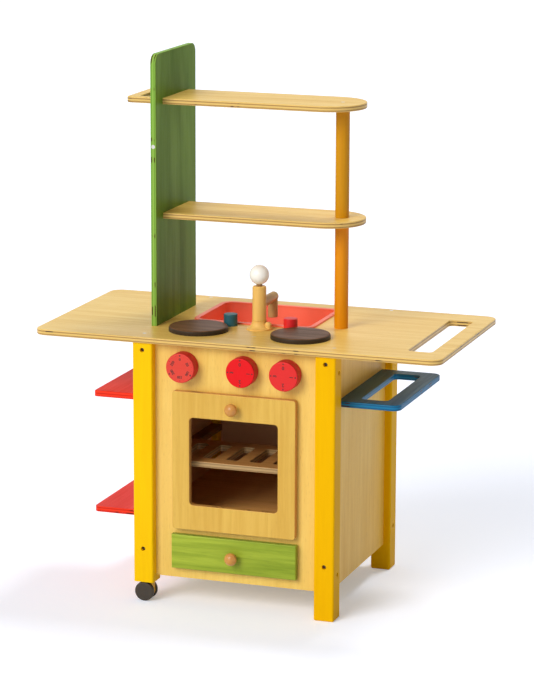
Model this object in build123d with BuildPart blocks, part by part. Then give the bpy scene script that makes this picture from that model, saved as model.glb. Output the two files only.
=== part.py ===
from build123d import *
import os

os.makedirs("parts", exist_ok=True)

# Play kitchen. X runs to the right, Y to the back, Z up; the front faces -Y.
# The origin is on the floor, at the middle of the whole kitchen's width and depth.

# Sheet and post stock
ply = 12.0
ease = 2.0
post_side = 42.0
post_round = 4.0
dowel = 28.0

# Cabinet
work_wide = 850.0
work_deep = 434.0
work_high = 550.0
work_corner = 25.0
legs_wide = 425.0
legs_deep = 424.0
skirt = 55.0
front_recess = 18.0
side_recess = 14.5
handle_in = 60.0
handle_wide = 50.0
handle_long = 305.0
handle_round = 9.0

# Clearances
slip = 0.1
bore_play = 0.05
turn_gap = 0.4

# Oven door, its opening and its folded hinges
door_side = 40.5
door_low = 160.0
door_high = 284.5
door_corner = 6.0
door_gap = 2.8
window_side = 37.0
window_low = 212.0
window_high = 180.0
window_corner = 8.0
door_lap = 18.0
oven_low = 188.0
oven_high = 242.0
leaf = 1.0
leaf_wide = 40.0
leaf_high = 21.0
knuckle_r = 2.0
knuckle_out = 3.0
knuckle_up = 2.3
knuckle_gap = 0.4
knuckle_mid = 16.0
pin_d = 1.6
hinge_in = 48.0
notch_play = 0.8
magnet_d = 12.0
magnet_long = 9.0
magnet_proud = 1.4
magnet_z = 437.0
strike_d = 16.0
strike_thick = 1.0

# Round knobs
knob_d = 26.0
knob_reach = 25.0
knob_neck = 14.0
knob_waist = 11.0
knob_neck_long = 10.0
knob_lip = 2.6
knob_tenon = 8.0
knob_tenon_long = 10.0
door_knob_z = 418.0
drawer_knob_z = 112.0

# Drawer
drawer_side = 38.5
drawer_low = 77.5
drawer_high = 71.0
box_side = 17.0
slot_play = 4.0
drawer_slot_low = 84.0
drawer_slot_high = 60.0
box_low = 87.0
box_high = 50.0
box_wall = 9.0
box_bottom = 4.0
groove_deep = 4.0
groove_up = 4.0
drawer_travel = 200.0
stop_play = 0.5
stop_wide = 40.0
stop_thick = 9.0
stop_low = 112.0
stop_high = 40.0
runner_long = 250.0
runner_under = 14.0
runner_guide = 24.0
runner_play = 0.5

# Oven rack
rack_z = 296.0
rack_play = 2.0
rack_deep = 170.0
rack_slots = 6
rack_pitch = 50.0
slot_wide = 26.0
slot_long = 110.0
slot_round = 6.0
cleat_wide = 24.0
oven_floor_z = 184.0
rail_y = -133.0
rail_wide = 30.0
rail_high = 20.0

# Dials and the screws that they turn on
dial_d = 60.0
dial_thick = 26.0
dial_round = 2.5
dial_back_round = 1.0
dial_z = 494.0
dial_gap = 1.0
dial_in = 62.5
dial_pitch = 90.0
spindle_d = 5.0
spindle_head = 10.0
spindle_head_thick = 3.0
spindle_bite = 17.0

# Hobs, sink and taps
hob_d = 120.0
hob_thick = 10.0
hob_round = 4.0
hob_y = -115.0
sink_x = -25.0
sink_y = 66.0
sink_wide = 260.0
sink_deep = 200.0
sink_round = 26.0
sink_lip = 8.0
sink_lip_high = 3.5
sink_lip_round = 1.5
sink_down = 85.0
sink_taper = 8.0
sink_wall = 2.2
sink_floor_round = 10.0
tap_d = 28.0
tap_high = 24.0
tap_round = 1.5
tap_y = -50.0
tap_cold_x = -63.0
tap_hot_x = 65.0
tap_bite = 16.0

# Faucet
faucet_x = 2.0
faucet_y = -60.0
foot_d = 52.0
foot_top_d = 30.0
foot_high = 18.0
foot_rim = 2.5
foot_waist_d = 36.0
foot_waist_high = 7.0
post_top = 638.0
post_end_round = 3.0
pivot_d = 8.0
pivot_head = 14.0
pivot_head_thick = 4.0
pivot_bite = 18.0
arm_d = 20.0
arm_z = 600.0
arm_end = 33.0
arm_round = 5.0
arm_tenon = 12.0
outlet_y = 23.0
outlet_low = 558.0
outlet_round = 1.5
outlet_tenon = 8.0
ball_d = 40.0
ball_z = 661.0
ball_neck = 12.0
ball_tenon_long = 12.0
peg_d = 14.0
peg_x = 22.0
peg_y = -63.0
peg_low = 552.0
peg_top = 566.0
peg_round = 6.0

# Tower: board, two shelves and the round post
tower_high = 1100.0
tower_y = 5.0
tower_deep = 226.0
tower_corner = 19.0
shelf_deep = 150.0
shelf_end_in = 11.5
top_shelf_z = 1008.0
low_shelf_z = 776.0
top_shelf_out = 67.5
shelf_corner = 12.0
side_slot_out = 28.5
side_slot_wide = 34.0
side_slot_long = 110.0
post_beyond = 28.0

# Side shelves and towel rack
side_shelf_out = 117.0
side_shelf_gap = 2.0
side_shelf_corner = 8.0
side_shelf_upper_z = 421.0
side_shelf_lower_z = 179.0
rack_top_z = 437.0
towel_out = 127.0
towel_long = 300.0
towel_corner = 17.0
towel_slot_out = 65.0
towel_slot_wide = 55.0
towel_slot_long = 234.0
towel_slot_round = 10.0

# Casters under the left legs
wheel_d = 40.0
wheel_thick = 8.5
wheel_gap = 0.5
wheel_round = 3.0
hood_thick = 12.0
hood_r = 17.0
axle_d = 4.0
trail = 8.0
stem_out = 6.0
stem_d = 8.0
stem_up = 28.0
caster_high = 42.0
sleeve_d = 11.0
sleeve_flange = 28.0
sleeve_flange_thick = 1.2
collar_d = 16.0
collar_gap = 0.6

# Fasteners
bolt_d = 6.4
bolt_head = 9.0
bolt_head_thick = 4.0
bolt_sink = 7.0
bolt_long = 65.0
bolt_high_y = 523.0
bolt_low_y = 112.0
bolt_drop = 20.0
screw_d = 4.0
screw_head = 8.0
screw_head_thick = 2.5
screw_long = 40.0
screw_leg_out = 8.0
screw_leg_back = 13.0
rail_screw_x = 17.0
edge_screw_z = 915.0
tower_screw_pitch = 80.0
shelf_screw_pitch = 90.0
side_screw_pitch = 110.0
runner_screw_y = 60.0

# Places that follow from the sizes above
knob_nose = legs_deep / 2 - front_recess + door_gap + ply + knob_reach
mid_y = (knob_nose - work_deep / 2) / 2
under_work = work_high - ply
leg_x = (legs_wide - post_side) / 2
leg_y = (legs_deep - post_side) / 2
inner_x = legs_wide / 2 - post_side
inner_y = legs_deep / 2 - post_side
side_x = legs_wide / 2 - side_recess
wall_x = side_x - ply
front_y = mid_y - legs_deep / 2 + front_recess
front_in = front_y + ply
back_y = mid_y + legs_deep / 2 - side_recess
back_in = back_y - ply
door_back = front_y - door_gap
door_front = door_back - ply
panel_high = under_work - skirt
handle_x = work_wide / 2 - handle_in
door_wide = 2 * (inner_x - door_side)
window_wide = door_wide - 2 * window_side
oven_wide = door_wide - 2 * door_lap
hinge_x = door_wide / 2 - hinge_in
drawer_wide = 2 * (inner_x - drawer_side)
box_wide = drawer_wide - 2 * box_side
drawer_slot_wide = box_wide + 2 * slot_play
rack_wide = 2 * (inner_x - rack_play)
dial_right_x = inner_x - dial_in
dial_left_x = dial_right_x - dial_pitch
dial_oven_x = -dial_right_x
hob_x = dial_right_x
tower_x = -legs_wide / 2
top_shelf_left = tower_x - top_shelf_out
side_slot_x = tower_x - side_slot_out
shelf_end_x = legs_wide / 2 - shelf_end_in
shelf_turn_x = shelf_end_x - shelf_deep / 2
post_x = shelf_turn_x + post_beyond
towel_slot_x = side_x + towel_slot_out
hinge_y = front_y - knuckle_out
hinge_z = door_low + knuckle_up
stop_y = front_in + drawer_travel + stop_play
board_in = tower_x + ply
tower_mid = mid_y + tower_y
faucet_mid = mid_y + faucet_y
low_post_top = low_shelf_z - ply
up_post_top = top_shelf_z - ply
stem_x = -leg_x + stem_out
axle_z = wheel_d / 2
CENTER_MIN = (Align.CENTER, Align.MIN)

# A long furniture screw with a round head, standing on its tip's axis
with BuildPart() as leg_bolt:
    with BuildSketch(Plane.XY.offset(-bolt_sink)):
        Circle(bolt_head / 2)
    extrude(amount=-bolt_head_thick)
    with BuildSketch(Plane.XY.offset(-bolt_sink - bolt_head_thick)):
        Circle(bolt_d / 2)
    extrude(amount=bolt_head_thick - bolt_long)

with BuildPart() as bolt_bore:
    with BuildSketch():
        Circle(bolt_head / 2 + slip)
    extrude(amount=-bolt_sink - bolt_head_thick)
    with BuildSketch():
        Circle(bolt_d / 2 + slip)
    extrude(amount=-bolt_sink - bolt_long)

# Where the bolts go in: through a leg into the edge of the panel that stands behind it
front_side = Plane(origin=(0, mid_y - legs_deep / 2, 0), x_dir=(1, 0, 0), z_dir=(0, -1, 0))
back_side = Plane(origin=(0, mid_y + legs_deep / 2, 0), x_dir=(-1, 0, 0), z_dir=(0, 1, 0))
right_side = Plane(origin=(legs_wide / 2, 0, 0), x_dir=(0, 1, 0), z_dir=(1, 0, 0))
left_side = Plane(origin=(-legs_wide / 2, 0, 0), x_dir=(0, -1, 0), z_dir=(-1, 0, 0))
bolt_seats = []
for across in (-side_x + ply / 2, side_x - ply / 2):
    for height in (bolt_low_y, bolt_high_y):
        bolt_seats.append(front_side * Location((across, height, 0)))
        bolt_seats.append(back_side * Location((across, height, 0)))
for across in (front_y + ply / 2, back_y - ply / 2):
    for height in (bolt_low_y - bolt_drop, bolt_high_y - bolt_drop):
        bolt_seats.append(right_side * Location((across, height, 0)))
        bolt_seats.append(left_side * Location((-across, height, 0)))

with BuildPart() as leg_bolts:
    with Locations(*bolt_seats):
        add(leg_bolt.part)

with BuildPart() as bolt_holes:
    with Locations(*bolt_seats):
        add(bolt_bore.part)

# A countersunk wood screw and the hole that it sits in
with BuildPart() as wood_screw:
    with BuildSketch(Plane.XZ):
        with BuildLine():
            Polyline(
                (0, 0),
                (screw_head / 2, 0),
                (screw_d / 2, -screw_head_thick),
                (screw_d / 2, screw_d - screw_long),
                (0, -screw_long),
                close=True,
            )
        make_face()
    revolve(axis=Axis.Z)

with BuildPart() as screw_bore:
    with BuildSketch(Plane.XZ):
        with BuildLine():
            Polyline(
                (0, 0),
                (screw_head / 2 + slip, 0),
                (screw_d / 2 + slip, -screw_head_thick),
                (screw_d / 2 + slip, -screw_long - slip),
                (0, -screw_long - slip),
                close=True,
            )
        make_face()
    revolve(axis=Axis.Z)

down = Plane.XY.offset(work_high)
up = Plane(origin=(0, 0, under_work), x_dir=(1, 0, 0), z_dir=(0, 0, -1))
board_left = Plane(origin=(tower_x, 0, 0), x_dir=(0, -1, 0), z_dir=(-1, 0, 0))
board_edge = Plane(origin=(0, tower_mid - tower_deep / 2, 0), x_dir=(1, 0, 0), z_dir=(0, -1, 0))
wall_left = Plane(origin=(-wall_x, 0, 0), x_dir=(0, 1, 0), z_dir=(1, 0, 0))
wall_right = Plane(origin=(wall_x, 0, 0), x_dir=(0, -1, 0), z_dir=(-1, 0, 0))
under_floor = Plane(origin=(0, 0, skirt), x_dir=(1, 0, 0), z_dir=(0, 0, -1))
tower_edge_x = tower_x + ply / 2

screw_seats = [
    down * Location((rail_screw_x, mid_y + rail_y, 0)),
    up * Location((post_x, -tower_mid, 0)),
    Plane.XY.offset(low_shelf_z) * Location((post_x, tower_mid, 0)),
    Plane.XY.offset(top_shelf_z) * Location((post_x, tower_mid, 0)),
    board_edge * Location((tower_edge_x, edge_screw_z, 0)),
]
for across in (-leg_x - screw_leg_out, leg_x + screw_leg_out):
    for depth in (-leg_y, leg_y):
        screw_seats.append(down * Location((across, mid_y + depth + screw_leg_back, 0)))
for depth in (-tower_screw_pitch, 0, tower_screw_pitch):
    screw_seats.append(up * Location((tower_edge_x, -tower_mid - depth, 0)))
for depth in (-shelf_screw_pitch / 2, shelf_screw_pitch / 2):
    screw_seats.append(board_left * Location((-tower_mid - depth, low_shelf_z - ply / 2, 0)))
for depth in (-side_screw_pitch, 0, side_screw_pitch):
    screw_seats.append(wall_left * Location((mid_y + depth, side_shelf_upper_z - ply / 2, 0)))
    screw_seats.append(wall_left * Location((mid_y + depth, side_shelf_lower_z - ply / 2, 0)))
    screw_seats.append(wall_right * Location((-mid_y - depth, rack_top_z - ply / 2, 0)))
guide_x = box_wide / 2 + runner_play
for across in (-guide_x - ply / 2, guide_x + ply / 2):
    for depth in (front_in + runner_screw_y, front_in + runner_long - runner_screw_y):
        screw_seats.append(under_floor * Location((across, -depth, 0)))

with BuildPart() as wood_screws:
    with Locations(*screw_seats):
        add(wood_screw.part)

with BuildPart() as screw_holes:
    with Locations(*screw_seats):
        add(screw_bore.part)

# The bores of the screws that dials and taps turn on, and of the faucet's bolt
dial_places = [(dial_oven_x, dial_z), (dial_left_x, dial_z), (dial_right_x, dial_z)]
with BuildPart() as dial_bores:
    with BuildSketch(Plane.XZ.offset(-front_in)):
        with Locations(*dial_places):
            Circle(spindle_d / 2 + bore_play)
    extrude(amount=ply)

with BuildPart() as work_bores:
    with BuildSketch(Plane.XY.offset(under_work)):
        with Locations((tap_cold_x, mid_y + tap_y), (tap_hot_x, mid_y + tap_y)):
            Circle(spindle_d / 2 + bore_play)
        with Locations((faucet_x, faucet_mid)):
            Circle(pivot_d / 2 + bore_play)
    extrude(amount=ply)

# Worktop
with BuildPart() as worktop:
    with BuildSketch(Plane.XY.offset(under_work)):
        with Locations((0, mid_y)):
            RectangleRounded(work_wide, work_deep, work_corner)
    extrude(amount=ply)
    fillet(worktop.faces().sort_by(Axis.Z)[-1].edges(), radius=ease)
    fillet(worktop.faces().sort_by(Axis.Z)[0].edges(), radius=ease)
    with BuildSketch(Plane.XY.offset(under_work)):
        with Locations((handle_x, mid_y)):
            RectangleRounded(handle_wide, handle_long, handle_round)
        with Locations((sink_x, mid_y + sink_y)):
            RectangleRounded(
                sink_wide - 2 * sink_lip + 2 * slip,
                sink_deep - 2 * sink_lip + 2 * slip,
                sink_round - sink_lip + slip,
            )
    extrude(amount=ply, mode=Mode.SUBTRACT)
    add(work_bores.part, mode=Mode.SUBTRACT)
    add(screw_holes.part, mode=Mode.SUBTRACT)

# Legs: the two left ones are shorter and stand on casters
with BuildPart() as sleeve_bores:
    with BuildSketch(Plane.XY.offset(caster_high)):
        with Locations((stem_x, mid_y - leg_y), (stem_x, mid_y + leg_y)):
            Circle(sleeve_d / 2 + slip)
    extrude(amount=stem_up)

with BuildPart() as leg_front_left:
    with BuildSketch(Plane.XY.offset(caster_high)):
        with Locations((-leg_x, mid_y - leg_y)):
            RectangleRounded(post_side, post_side, post_round)
    extrude(amount=under_work - caster_high)
    add(bolt_holes.part, mode=Mode.SUBTRACT)
    add(screw_holes.part, mode=Mode.SUBTRACT)
    add(sleeve_bores.part, mode=Mode.SUBTRACT)

with BuildPart() as leg_back_left:
    with BuildSketch(Plane.XY.offset(caster_high)):
        with Locations((-leg_x, mid_y + leg_y)):
            RectangleRounded(post_side, post_side, post_round)
    extrude(amount=under_work - caster_high)
    add(bolt_holes.part, mode=Mode.SUBTRACT)
    add(screw_holes.part, mode=Mode.SUBTRACT)
    add(sleeve_bores.part, mode=Mode.SUBTRACT)

with BuildPart() as leg_front_right:
    with BuildSketch():
        with Locations((leg_x, mid_y - leg_y)):
            RectangleRounded(post_side, post_side, post_round)
    extrude(amount=under_work)
    chamfer(leg_front_right.faces().sort_by(Axis.Z)[0].edges(), length=ease)
    add(bolt_holes.part, mode=Mode.SUBTRACT)
    add(screw_holes.part, mode=Mode.SUBTRACT)

with BuildPart() as leg_back_right:
    with BuildSketch():
        with Locations((leg_x, mid_y + leg_y)):
            RectangleRounded(post_side, post_side, post_round)
    extrude(amount=under_work)
    chamfer(leg_back_right.faces().sort_by(Axis.Z)[0].edges(), length=ease)
    add(bolt_holes.part, mode=Mode.SUBTRACT)
    add(screw_holes.part, mode=Mode.SUBTRACT)

# Panels between the legs
with BuildPart() as front_panel:
    with BuildSketch(Plane.XZ.offset(-front_in)):
        with Locations((0, skirt)):
            Rectangle(2 * inner_x, panel_high, align=CENTER_MIN)
        with Locations((0, oven_low)):
            Rectangle(oven_wide, oven_high, align=CENTER_MIN, mode=Mode.SUBTRACT)
        with Locations((0, drawer_slot_low)):
            Rectangle(drawer_slot_wide, drawer_slot_high, align=CENTER_MIN, mode=Mode.SUBTRACT)
    extrude(amount=ply)
    with BuildSketch(Plane.XZ.offset(-front_y)):
        with Locations((0, magnet_z)):
            Circle(magnet_d / 2)
    extrude(amount=magnet_proud - magnet_long, mode=Mode.SUBTRACT)
    add(dial_bores.part, mode=Mode.SUBTRACT)
    add(bolt_holes.part, mode=Mode.SUBTRACT)

with BuildPart() as back_panel:
    with BuildSketch(Plane.XZ.offset(-back_y)):
        with Locations((0, skirt)):
            Rectangle(2 * inner_x, panel_high, align=CENTER_MIN)
    extrude(amount=ply)
    add(bolt_holes.part, mode=Mode.SUBTRACT)

with BuildPart() as side_panel_left:
    with BuildSketch(Plane.YZ.offset(-side_x)):
        with Locations((mid_y, skirt)):
            Rectangle(2 * inner_y, panel_high, align=CENTER_MIN)
    extrude(amount=ply)
    add(bolt_holes.part, mode=Mode.SUBTRACT)
    add(screw_holes.part, mode=Mode.SUBTRACT)

with BuildPart() as side_panel_right:
    with BuildSketch(Plane.YZ.offset(wall_x)):
        with Locations((mid_y, skirt)):
            Rectangle(2 * inner_y, panel_high, align=CENTER_MIN)
    extrude(amount=ply)
    add(bolt_holes.part, mode=Mode.SUBTRACT)
    add(screw_holes.part, mode=Mode.SUBTRACT)

# Floors of the cabinet and of the oven, notched round the legs
with BuildPart() as bottom_panel:
    with BuildSketch(Plane.XY.offset(skirt)):
        with Locations((0, (front_in + back_in) / 2)):
            Rectangle(2 * wall_x, back_in - front_in)
        with Locations((0, mid_y)):
            with GridLocations(2 * leg_x, 2 * leg_y, 2, 2):
                Rectangle(post_side, post_side, mode=Mode.SUBTRACT)
    extrude(amount=ply)
    add(screw_holes.part, mode=Mode.SUBTRACT)

with BuildPart() as oven_floor:
    with BuildSketch(Plane.XY.offset(oven_floor_z - ply)):
        with Locations((0, (front_in + back_in) / 2)):
            Rectangle(2 * wall_x, back_in - front_in)
        with Locations((0, mid_y)):
            with GridLocations(2 * leg_x, 2 * leg_y, 2, 2):
                Rectangle(post_side, post_side, mode=Mode.SUBTRACT)
    extrude(amount=ply)

# Cleats under the rack, and the rail under the worktop
with BuildPart() as battens:
    with BuildSketch(Plane.XY.offset(rack_z - 2 * ply)):
        with Locations((cleat_wide / 2 - wall_x, mid_y), (wall_x - cleat_wide / 2, mid_y)):
            Rectangle(cleat_wide, 2 * inner_y)
    extrude(amount=ply)
    with BuildSketch(Plane.XY.offset(under_work)):
        with Locations((0, mid_y + rail_y)):
            Rectangle(2 * wall_x, rail_wide)
    extrude(amount=-rail_high)
    add(screw_holes.part, mode=Mode.SUBTRACT)

# Slatted oven rack
with BuildPart() as oven_rack:
    with BuildSketch(Plane.XY.offset(rack_z - ply)):
        with Locations((0, front_in + ease + rack_deep / 2)):
            Rectangle(rack_wide, rack_deep)
            with GridLocations(rack_pitch, slot_long, rack_slots, 1):
                RectangleRounded(slot_wide, slot_long, slot_round, mode=Mode.SUBTRACT)
    extrude(amount=ply)
    fillet(oven_rack.edges().filter_by(Axis.X).group_by(Axis.Y)[0], radius=ease)

# Oven door: one board with a window, rebated behind its lower edge for the two hinges
with BuildPart() as oven_door:
    with BuildSketch(Plane.XZ.offset(-door_back)):
        with Locations((0, door_low + door_high / 2)):
            RectangleRounded(door_wide, door_high, door_corner)
        with Locations((0, window_low + window_high / 2)):
            RectangleRounded(window_wide, window_high, window_corner, mode=Mode.SUBTRACT)
    extrude(amount=ply)
    fillet(oven_door.faces().sort_by(Axis.Y)[0].edges(), radius=ease)
    with BuildSketch(Plane.XZ.offset(-door_back)):
        with Locations((-hinge_x, door_low), (hinge_x, door_low)):
            Rectangle(
                leaf_wide + 2 * notch_play,
                knuckle_up + knuckle_r + notch_play,
                align=CENTER_MIN,
            )
    extrude(amount=knuckle_out - door_gap + knuckle_r + notch_play, mode=Mode.SUBTRACT)
    with BuildSketch(Plane.XZ.offset(-door_back)):
        with Locations((0, door_knob_z)):
            Circle(knob_tenon / 2 + slip)
    extrude(amount=ply, mode=Mode.SUBTRACT)

# Folded butt hinges: the outer knuckles belong to the panel, the middle one to the door
leaf_low = hinge_z + knuckle_r + knuckle_gap
knuckle_end = leaf_wide / 2 - knuckle_mid / 2 - knuckle_gap
knuckle_end_x = knuckle_mid / 2 + knuckle_gap + knuckle_end / 2
outer_knuckles = []
for middle in (-hinge_x, hinge_x):
    outer_knuckles.append((middle - knuckle_end_x, hinge_z))
    outer_knuckles.append((middle + knuckle_end_x, hinge_z))
with BuildPart() as hinge_leaves_fixed:
    with BuildSketch(Plane.XZ.offset(-front_y)):
        with Locations((-hinge_x, leaf_low), (hinge_x, leaf_low)):
            Rectangle(leaf_wide, leaf_high, align=CENTER_MIN)
        with Locations(*outer_knuckles):
            Rectangle(knuckle_end, leaf_low - hinge_z, align=CENTER_MIN)
    extrude(amount=leaf)
    with BuildSketch(Plane.XZ.offset(-front_y)):
        with Locations(*outer_knuckles):
            Rectangle(knuckle_end, knuckle_r)
    extrude(amount=knuckle_out)
    for middle in outer_knuckles:
        with BuildSketch(Plane.YZ.offset(middle[0] - knuckle_end / 2)):
            with Locations((hinge_y, hinge_z)):
                Circle(knuckle_r)
        extrude(amount=knuckle_end)
    with BuildSketch(Plane.YZ.offset(-hinge_x - leaf_wide / 2)):
        with Locations((hinge_y, hinge_z)):
            Circle(pin_d / 2)
    extrude(amount=2 * hinge_x + leaf_wide, mode=Mode.SUBTRACT)

with BuildPart() as hinge_leaves_moving:
    with BuildSketch(Plane.XZ.offset(-door_back)):
        with Locations((-hinge_x, leaf_low), (hinge_x, leaf_low)):
            Rectangle(leaf_wide, leaf_high, align=CENTER_MIN)
        with Locations((-hinge_x, hinge_z), (hinge_x, hinge_z)):
            Rectangle(knuckle_mid, leaf_low - hinge_z, align=CENTER_MIN)
    extrude(amount=-leaf)
    for middle in (-hinge_x, hinge_x):
        with BuildSketch(Plane.YZ.offset(middle - knuckle_mid / 2)):
            with Locations((hinge_y, hinge_z)):
                Circle(knuckle_r)
        extrude(amount=knuckle_mid)
    with BuildSketch(Plane.YZ.offset(-hinge_x - leaf_wide / 2)):
        with Locations((hinge_y, hinge_z)):
            Circle(pin_d / 2 + bore_play)
    extrude(amount=2 * hinge_x + leaf_wide, mode=Mode.SUBTRACT)

with BuildPart() as hinge_pins:
    for middle in (-hinge_x, hinge_x):
        with BuildSketch(Plane.YZ.offset(middle - leaf_wide / 2)):
            with Locations((hinge_y, hinge_z)):
                Circle(pin_d / 2)
        extrude(amount=leaf_wide)

# Magnet in the panel and the steel disc on the door that it holds
with BuildPart() as door_magnet:
    with BuildSketch(Plane.XZ.offset(magnet_proud - front_y)):
        with Locations((0, magnet_z)):
            Circle(magnet_d / 2)
    extrude(amount=-magnet_long)

with BuildPart() as door_strike:
    with BuildSketch(Plane.XZ.offset(-door_back)):
        with Locations((0, magnet_z)):
            Circle(strike_d / 2 - leaf)
    extrude(amount=-strike_thick)

# Turned knobs with a neck, a mushroom head and a tenon that is glued into the board
with BuildPart() as turned_knob:
    with BuildSketch(Plane.XZ):
        with BuildLine():
            Polyline(
                (0, knob_reach),
                (0, -knob_tenon_long),
                (knob_tenon / 2, -knob_tenon_long),
                (knob_tenon / 2, 0),
                (knob_neck / 2, 0),
                (knob_waist / 2, knob_neck_long),
                (knob_d / 2 - knob_lip, knob_neck_long),
            )
            ThreePointArc(
                (knob_d / 2 - knob_lip, knob_neck_long),
                (knob_d / 2, knob_neck_long + 2 * knob_lip),
                (knob_d / 2 - knob_lip, knob_neck_long + 4 * knob_lip),
            )
            TangentArc(
                (0, knob_reach),
                (knob_d / 2 - knob_lip, knob_neck_long + 4 * knob_lip),
                tangent=(1, 0),
            )
        make_face()
    revolve(axis=Axis.Z)

out_of_front = Plane(origin=(0, door_front, 0), x_dir=(1, 0, 0), z_dir=(0, -1, 0))
with BuildPart() as door_knob:
    with Locations(out_of_front * Location((0, door_knob_z, 0))):
        add(turned_knob.part)

with BuildPart() as drawer_knob:
    with Locations(out_of_front * Location((0, drawer_knob_z, 0))):
        add(turned_knob.part)

# Drawer: front board, two grooved sides, back, thin bottom and the stop behind
with BuildPart() as drawer_front:
    with BuildSketch(Plane.XZ.offset(-door_back)):
        with Locations((0, drawer_low + drawer_high / 2)):
            Rectangle(drawer_wide, drawer_high)
    extrude(amount=ply)
    fillet(drawer_front.faces().sort_by(Axis.Y)[0].edges(), radius=ease)
    with BuildSketch(Plane.XZ.offset(-door_back)):
        with Locations((0, drawer_knob_z)):
            Circle(knob_tenon / 2 + slip)
    extrude(amount=ply, mode=Mode.SUBTRACT)

box_long = stop_y - door_back
box_side_x = (box_wide - box_wall) / 2
bottom_z = box_low + groove_up
with BuildPart() as drawer_sides:
    with BuildSketch(Plane.XZ.offset(-door_back)):
        with Locations((-box_side_x, box_low), (box_side_x, box_low)):
            Rectangle(box_wall, box_high, align=CENTER_MIN)
        with Locations((0, bottom_z)):
            Rectangle(
                box_wide - 2 * box_wall + 2 * groove_deep,
                box_bottom + slip,
                align=CENTER_MIN,
                mode=Mode.SUBTRACT,
            )
    extrude(amount=-box_long)

with BuildPart() as drawer_back:
    with BuildSketch(Plane.XZ.offset(-stop_y)):
        with Locations((0, bottom_z + box_bottom + slip)):
            Rectangle(
                box_wide - 2 * box_wall,
                box_high - groove_up - box_bottom - slip,
                align=CENTER_MIN,
            )
    extrude(amount=box_wall)

with BuildPart() as drawer_bottom:
    with BuildSketch(Plane.XY.offset(bottom_z)):
        with Locations((0, door_back + box_long / 2)):
            Rectangle(box_wide - 2 * box_wall + 2 * (groove_deep - slip), box_long)
    extrude(amount=box_bottom)

with BuildPart() as drawer_stop:
    with BuildSketch(Plane.XZ.offset(-stop_y)):
        with Locations((0, stop_low + stop_high / 2)):
            RectangleRounded(stop_wide, stop_high, post_round)
    extrude(amount=-stop_thick)

with BuildPart() as drawer_runners:
    with BuildSketch(Plane.XZ.offset(-front_in)):
        with BuildLine():
            Polyline(
                (guide_x - runner_under, skirt + ply),
                (guide_x + ply, skirt + ply),
                (guide_x + ply, box_low + runner_guide),
                (guide_x, box_low + runner_guide),
                (guide_x, box_low - turn_gap),
                (guide_x - runner_under, box_low - turn_gap),
                close=True,
            )
        make_face()
        mirror(about=Plane.YZ)
    extrude(amount=-runner_long)
    add(screw_holes.part, mode=Mode.SUBTRACT)

# Dials, each turning on a screw from behind the front panel
spindle_long = turn_gap + ply + dial_gap + spindle_bite
with BuildPart() as dial:
    with BuildSketch(Plane.XY.offset(dial_gap)):
        Circle(dial_d / 2)
    extrude(amount=dial_thick)
    fillet(dial.edges().group_by(Axis.Z)[-1], radius=dial_round)
    fillet(dial.edges().group_by(Axis.Z)[0], radius=dial_back_round)
    with BuildSketch(Plane.XY.offset(dial_gap)):
        Circle(spindle_d / 2)
    extrude(amount=spindle_bite, mode=Mode.SUBTRACT)

with BuildPart() as dial_screw:
    with BuildSketch(Plane.XY.offset(-ply - turn_gap)):
        Circle(spindle_head / 2)
    extrude(amount=-spindle_head_thick)
    with BuildSketch(Plane.XY.offset(-ply - turn_gap)):
        Circle(spindle_d / 2)
    extrude(amount=spindle_long)

out_of_panel = Plane(origin=(0, front_y, 0), x_dir=(1, 0, 0), z_dir=(0, -1, 0))
with BuildPart() as dial_oven:
    with Locations(out_of_panel * Location((dial_oven_x, dial_z, 0))):
        add(dial.part)

with BuildPart() as dial_oven_screw:
    with Locations(out_of_panel * Location((dial_oven_x, dial_z, 0))):
        add(dial_screw.part)

with BuildPart() as dial_hob_left:
    with Locations(out_of_panel * Location((dial_left_x, dial_z, 0))):
        add(dial.part)

with BuildPart() as dial_hob_left_screw:
    with Locations(out_of_panel * Location((dial_left_x, dial_z, 0))):
        add(dial_screw.part)

with BuildPart() as dial_hob_right:
    with Locations(out_of_panel * Location((dial_right_x, dial_z, 0))):
        add(dial.part)

with BuildPart() as dial_hob_right_screw:
    with Locations(out_of_panel * Location((dial_right_x, dial_z, 0))):
        add(dial_screw.part)

# Hobs
with BuildPart() as hobs:
    with BuildSketch(Plane.XY.offset(work_high)):
        with Locations((-hob_x, mid_y + hob_y), (hob_x, mid_y + hob_y)):
            Circle(hob_d / 2)
    extrude(amount=hob_thick)
    fillet(hobs.edges().group_by(Axis.Z)[-1], radius=hob_round)

# Sink: a tapered tub of even wall, hung by its lip in the worktop
with BuildPart() as sink_inside:
    with BuildSketch(Plane.XY.offset(work_high)):
        with Locations((sink_x, mid_y + sink_y)):
            RectangleRounded(
                sink_wide - 2 * sink_lip - 2 * sink_wall,
                sink_deep - 2 * sink_lip - 2 * sink_wall,
                sink_round - sink_lip - sink_wall,
            )
    extrude(amount=sink_wall - sink_down, taper=sink_taper)
    fillet(
        sink_inside.faces().sort_by(Axis.Z)[0].edges(),
        radius=sink_floor_round - sink_wall,
    )

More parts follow.
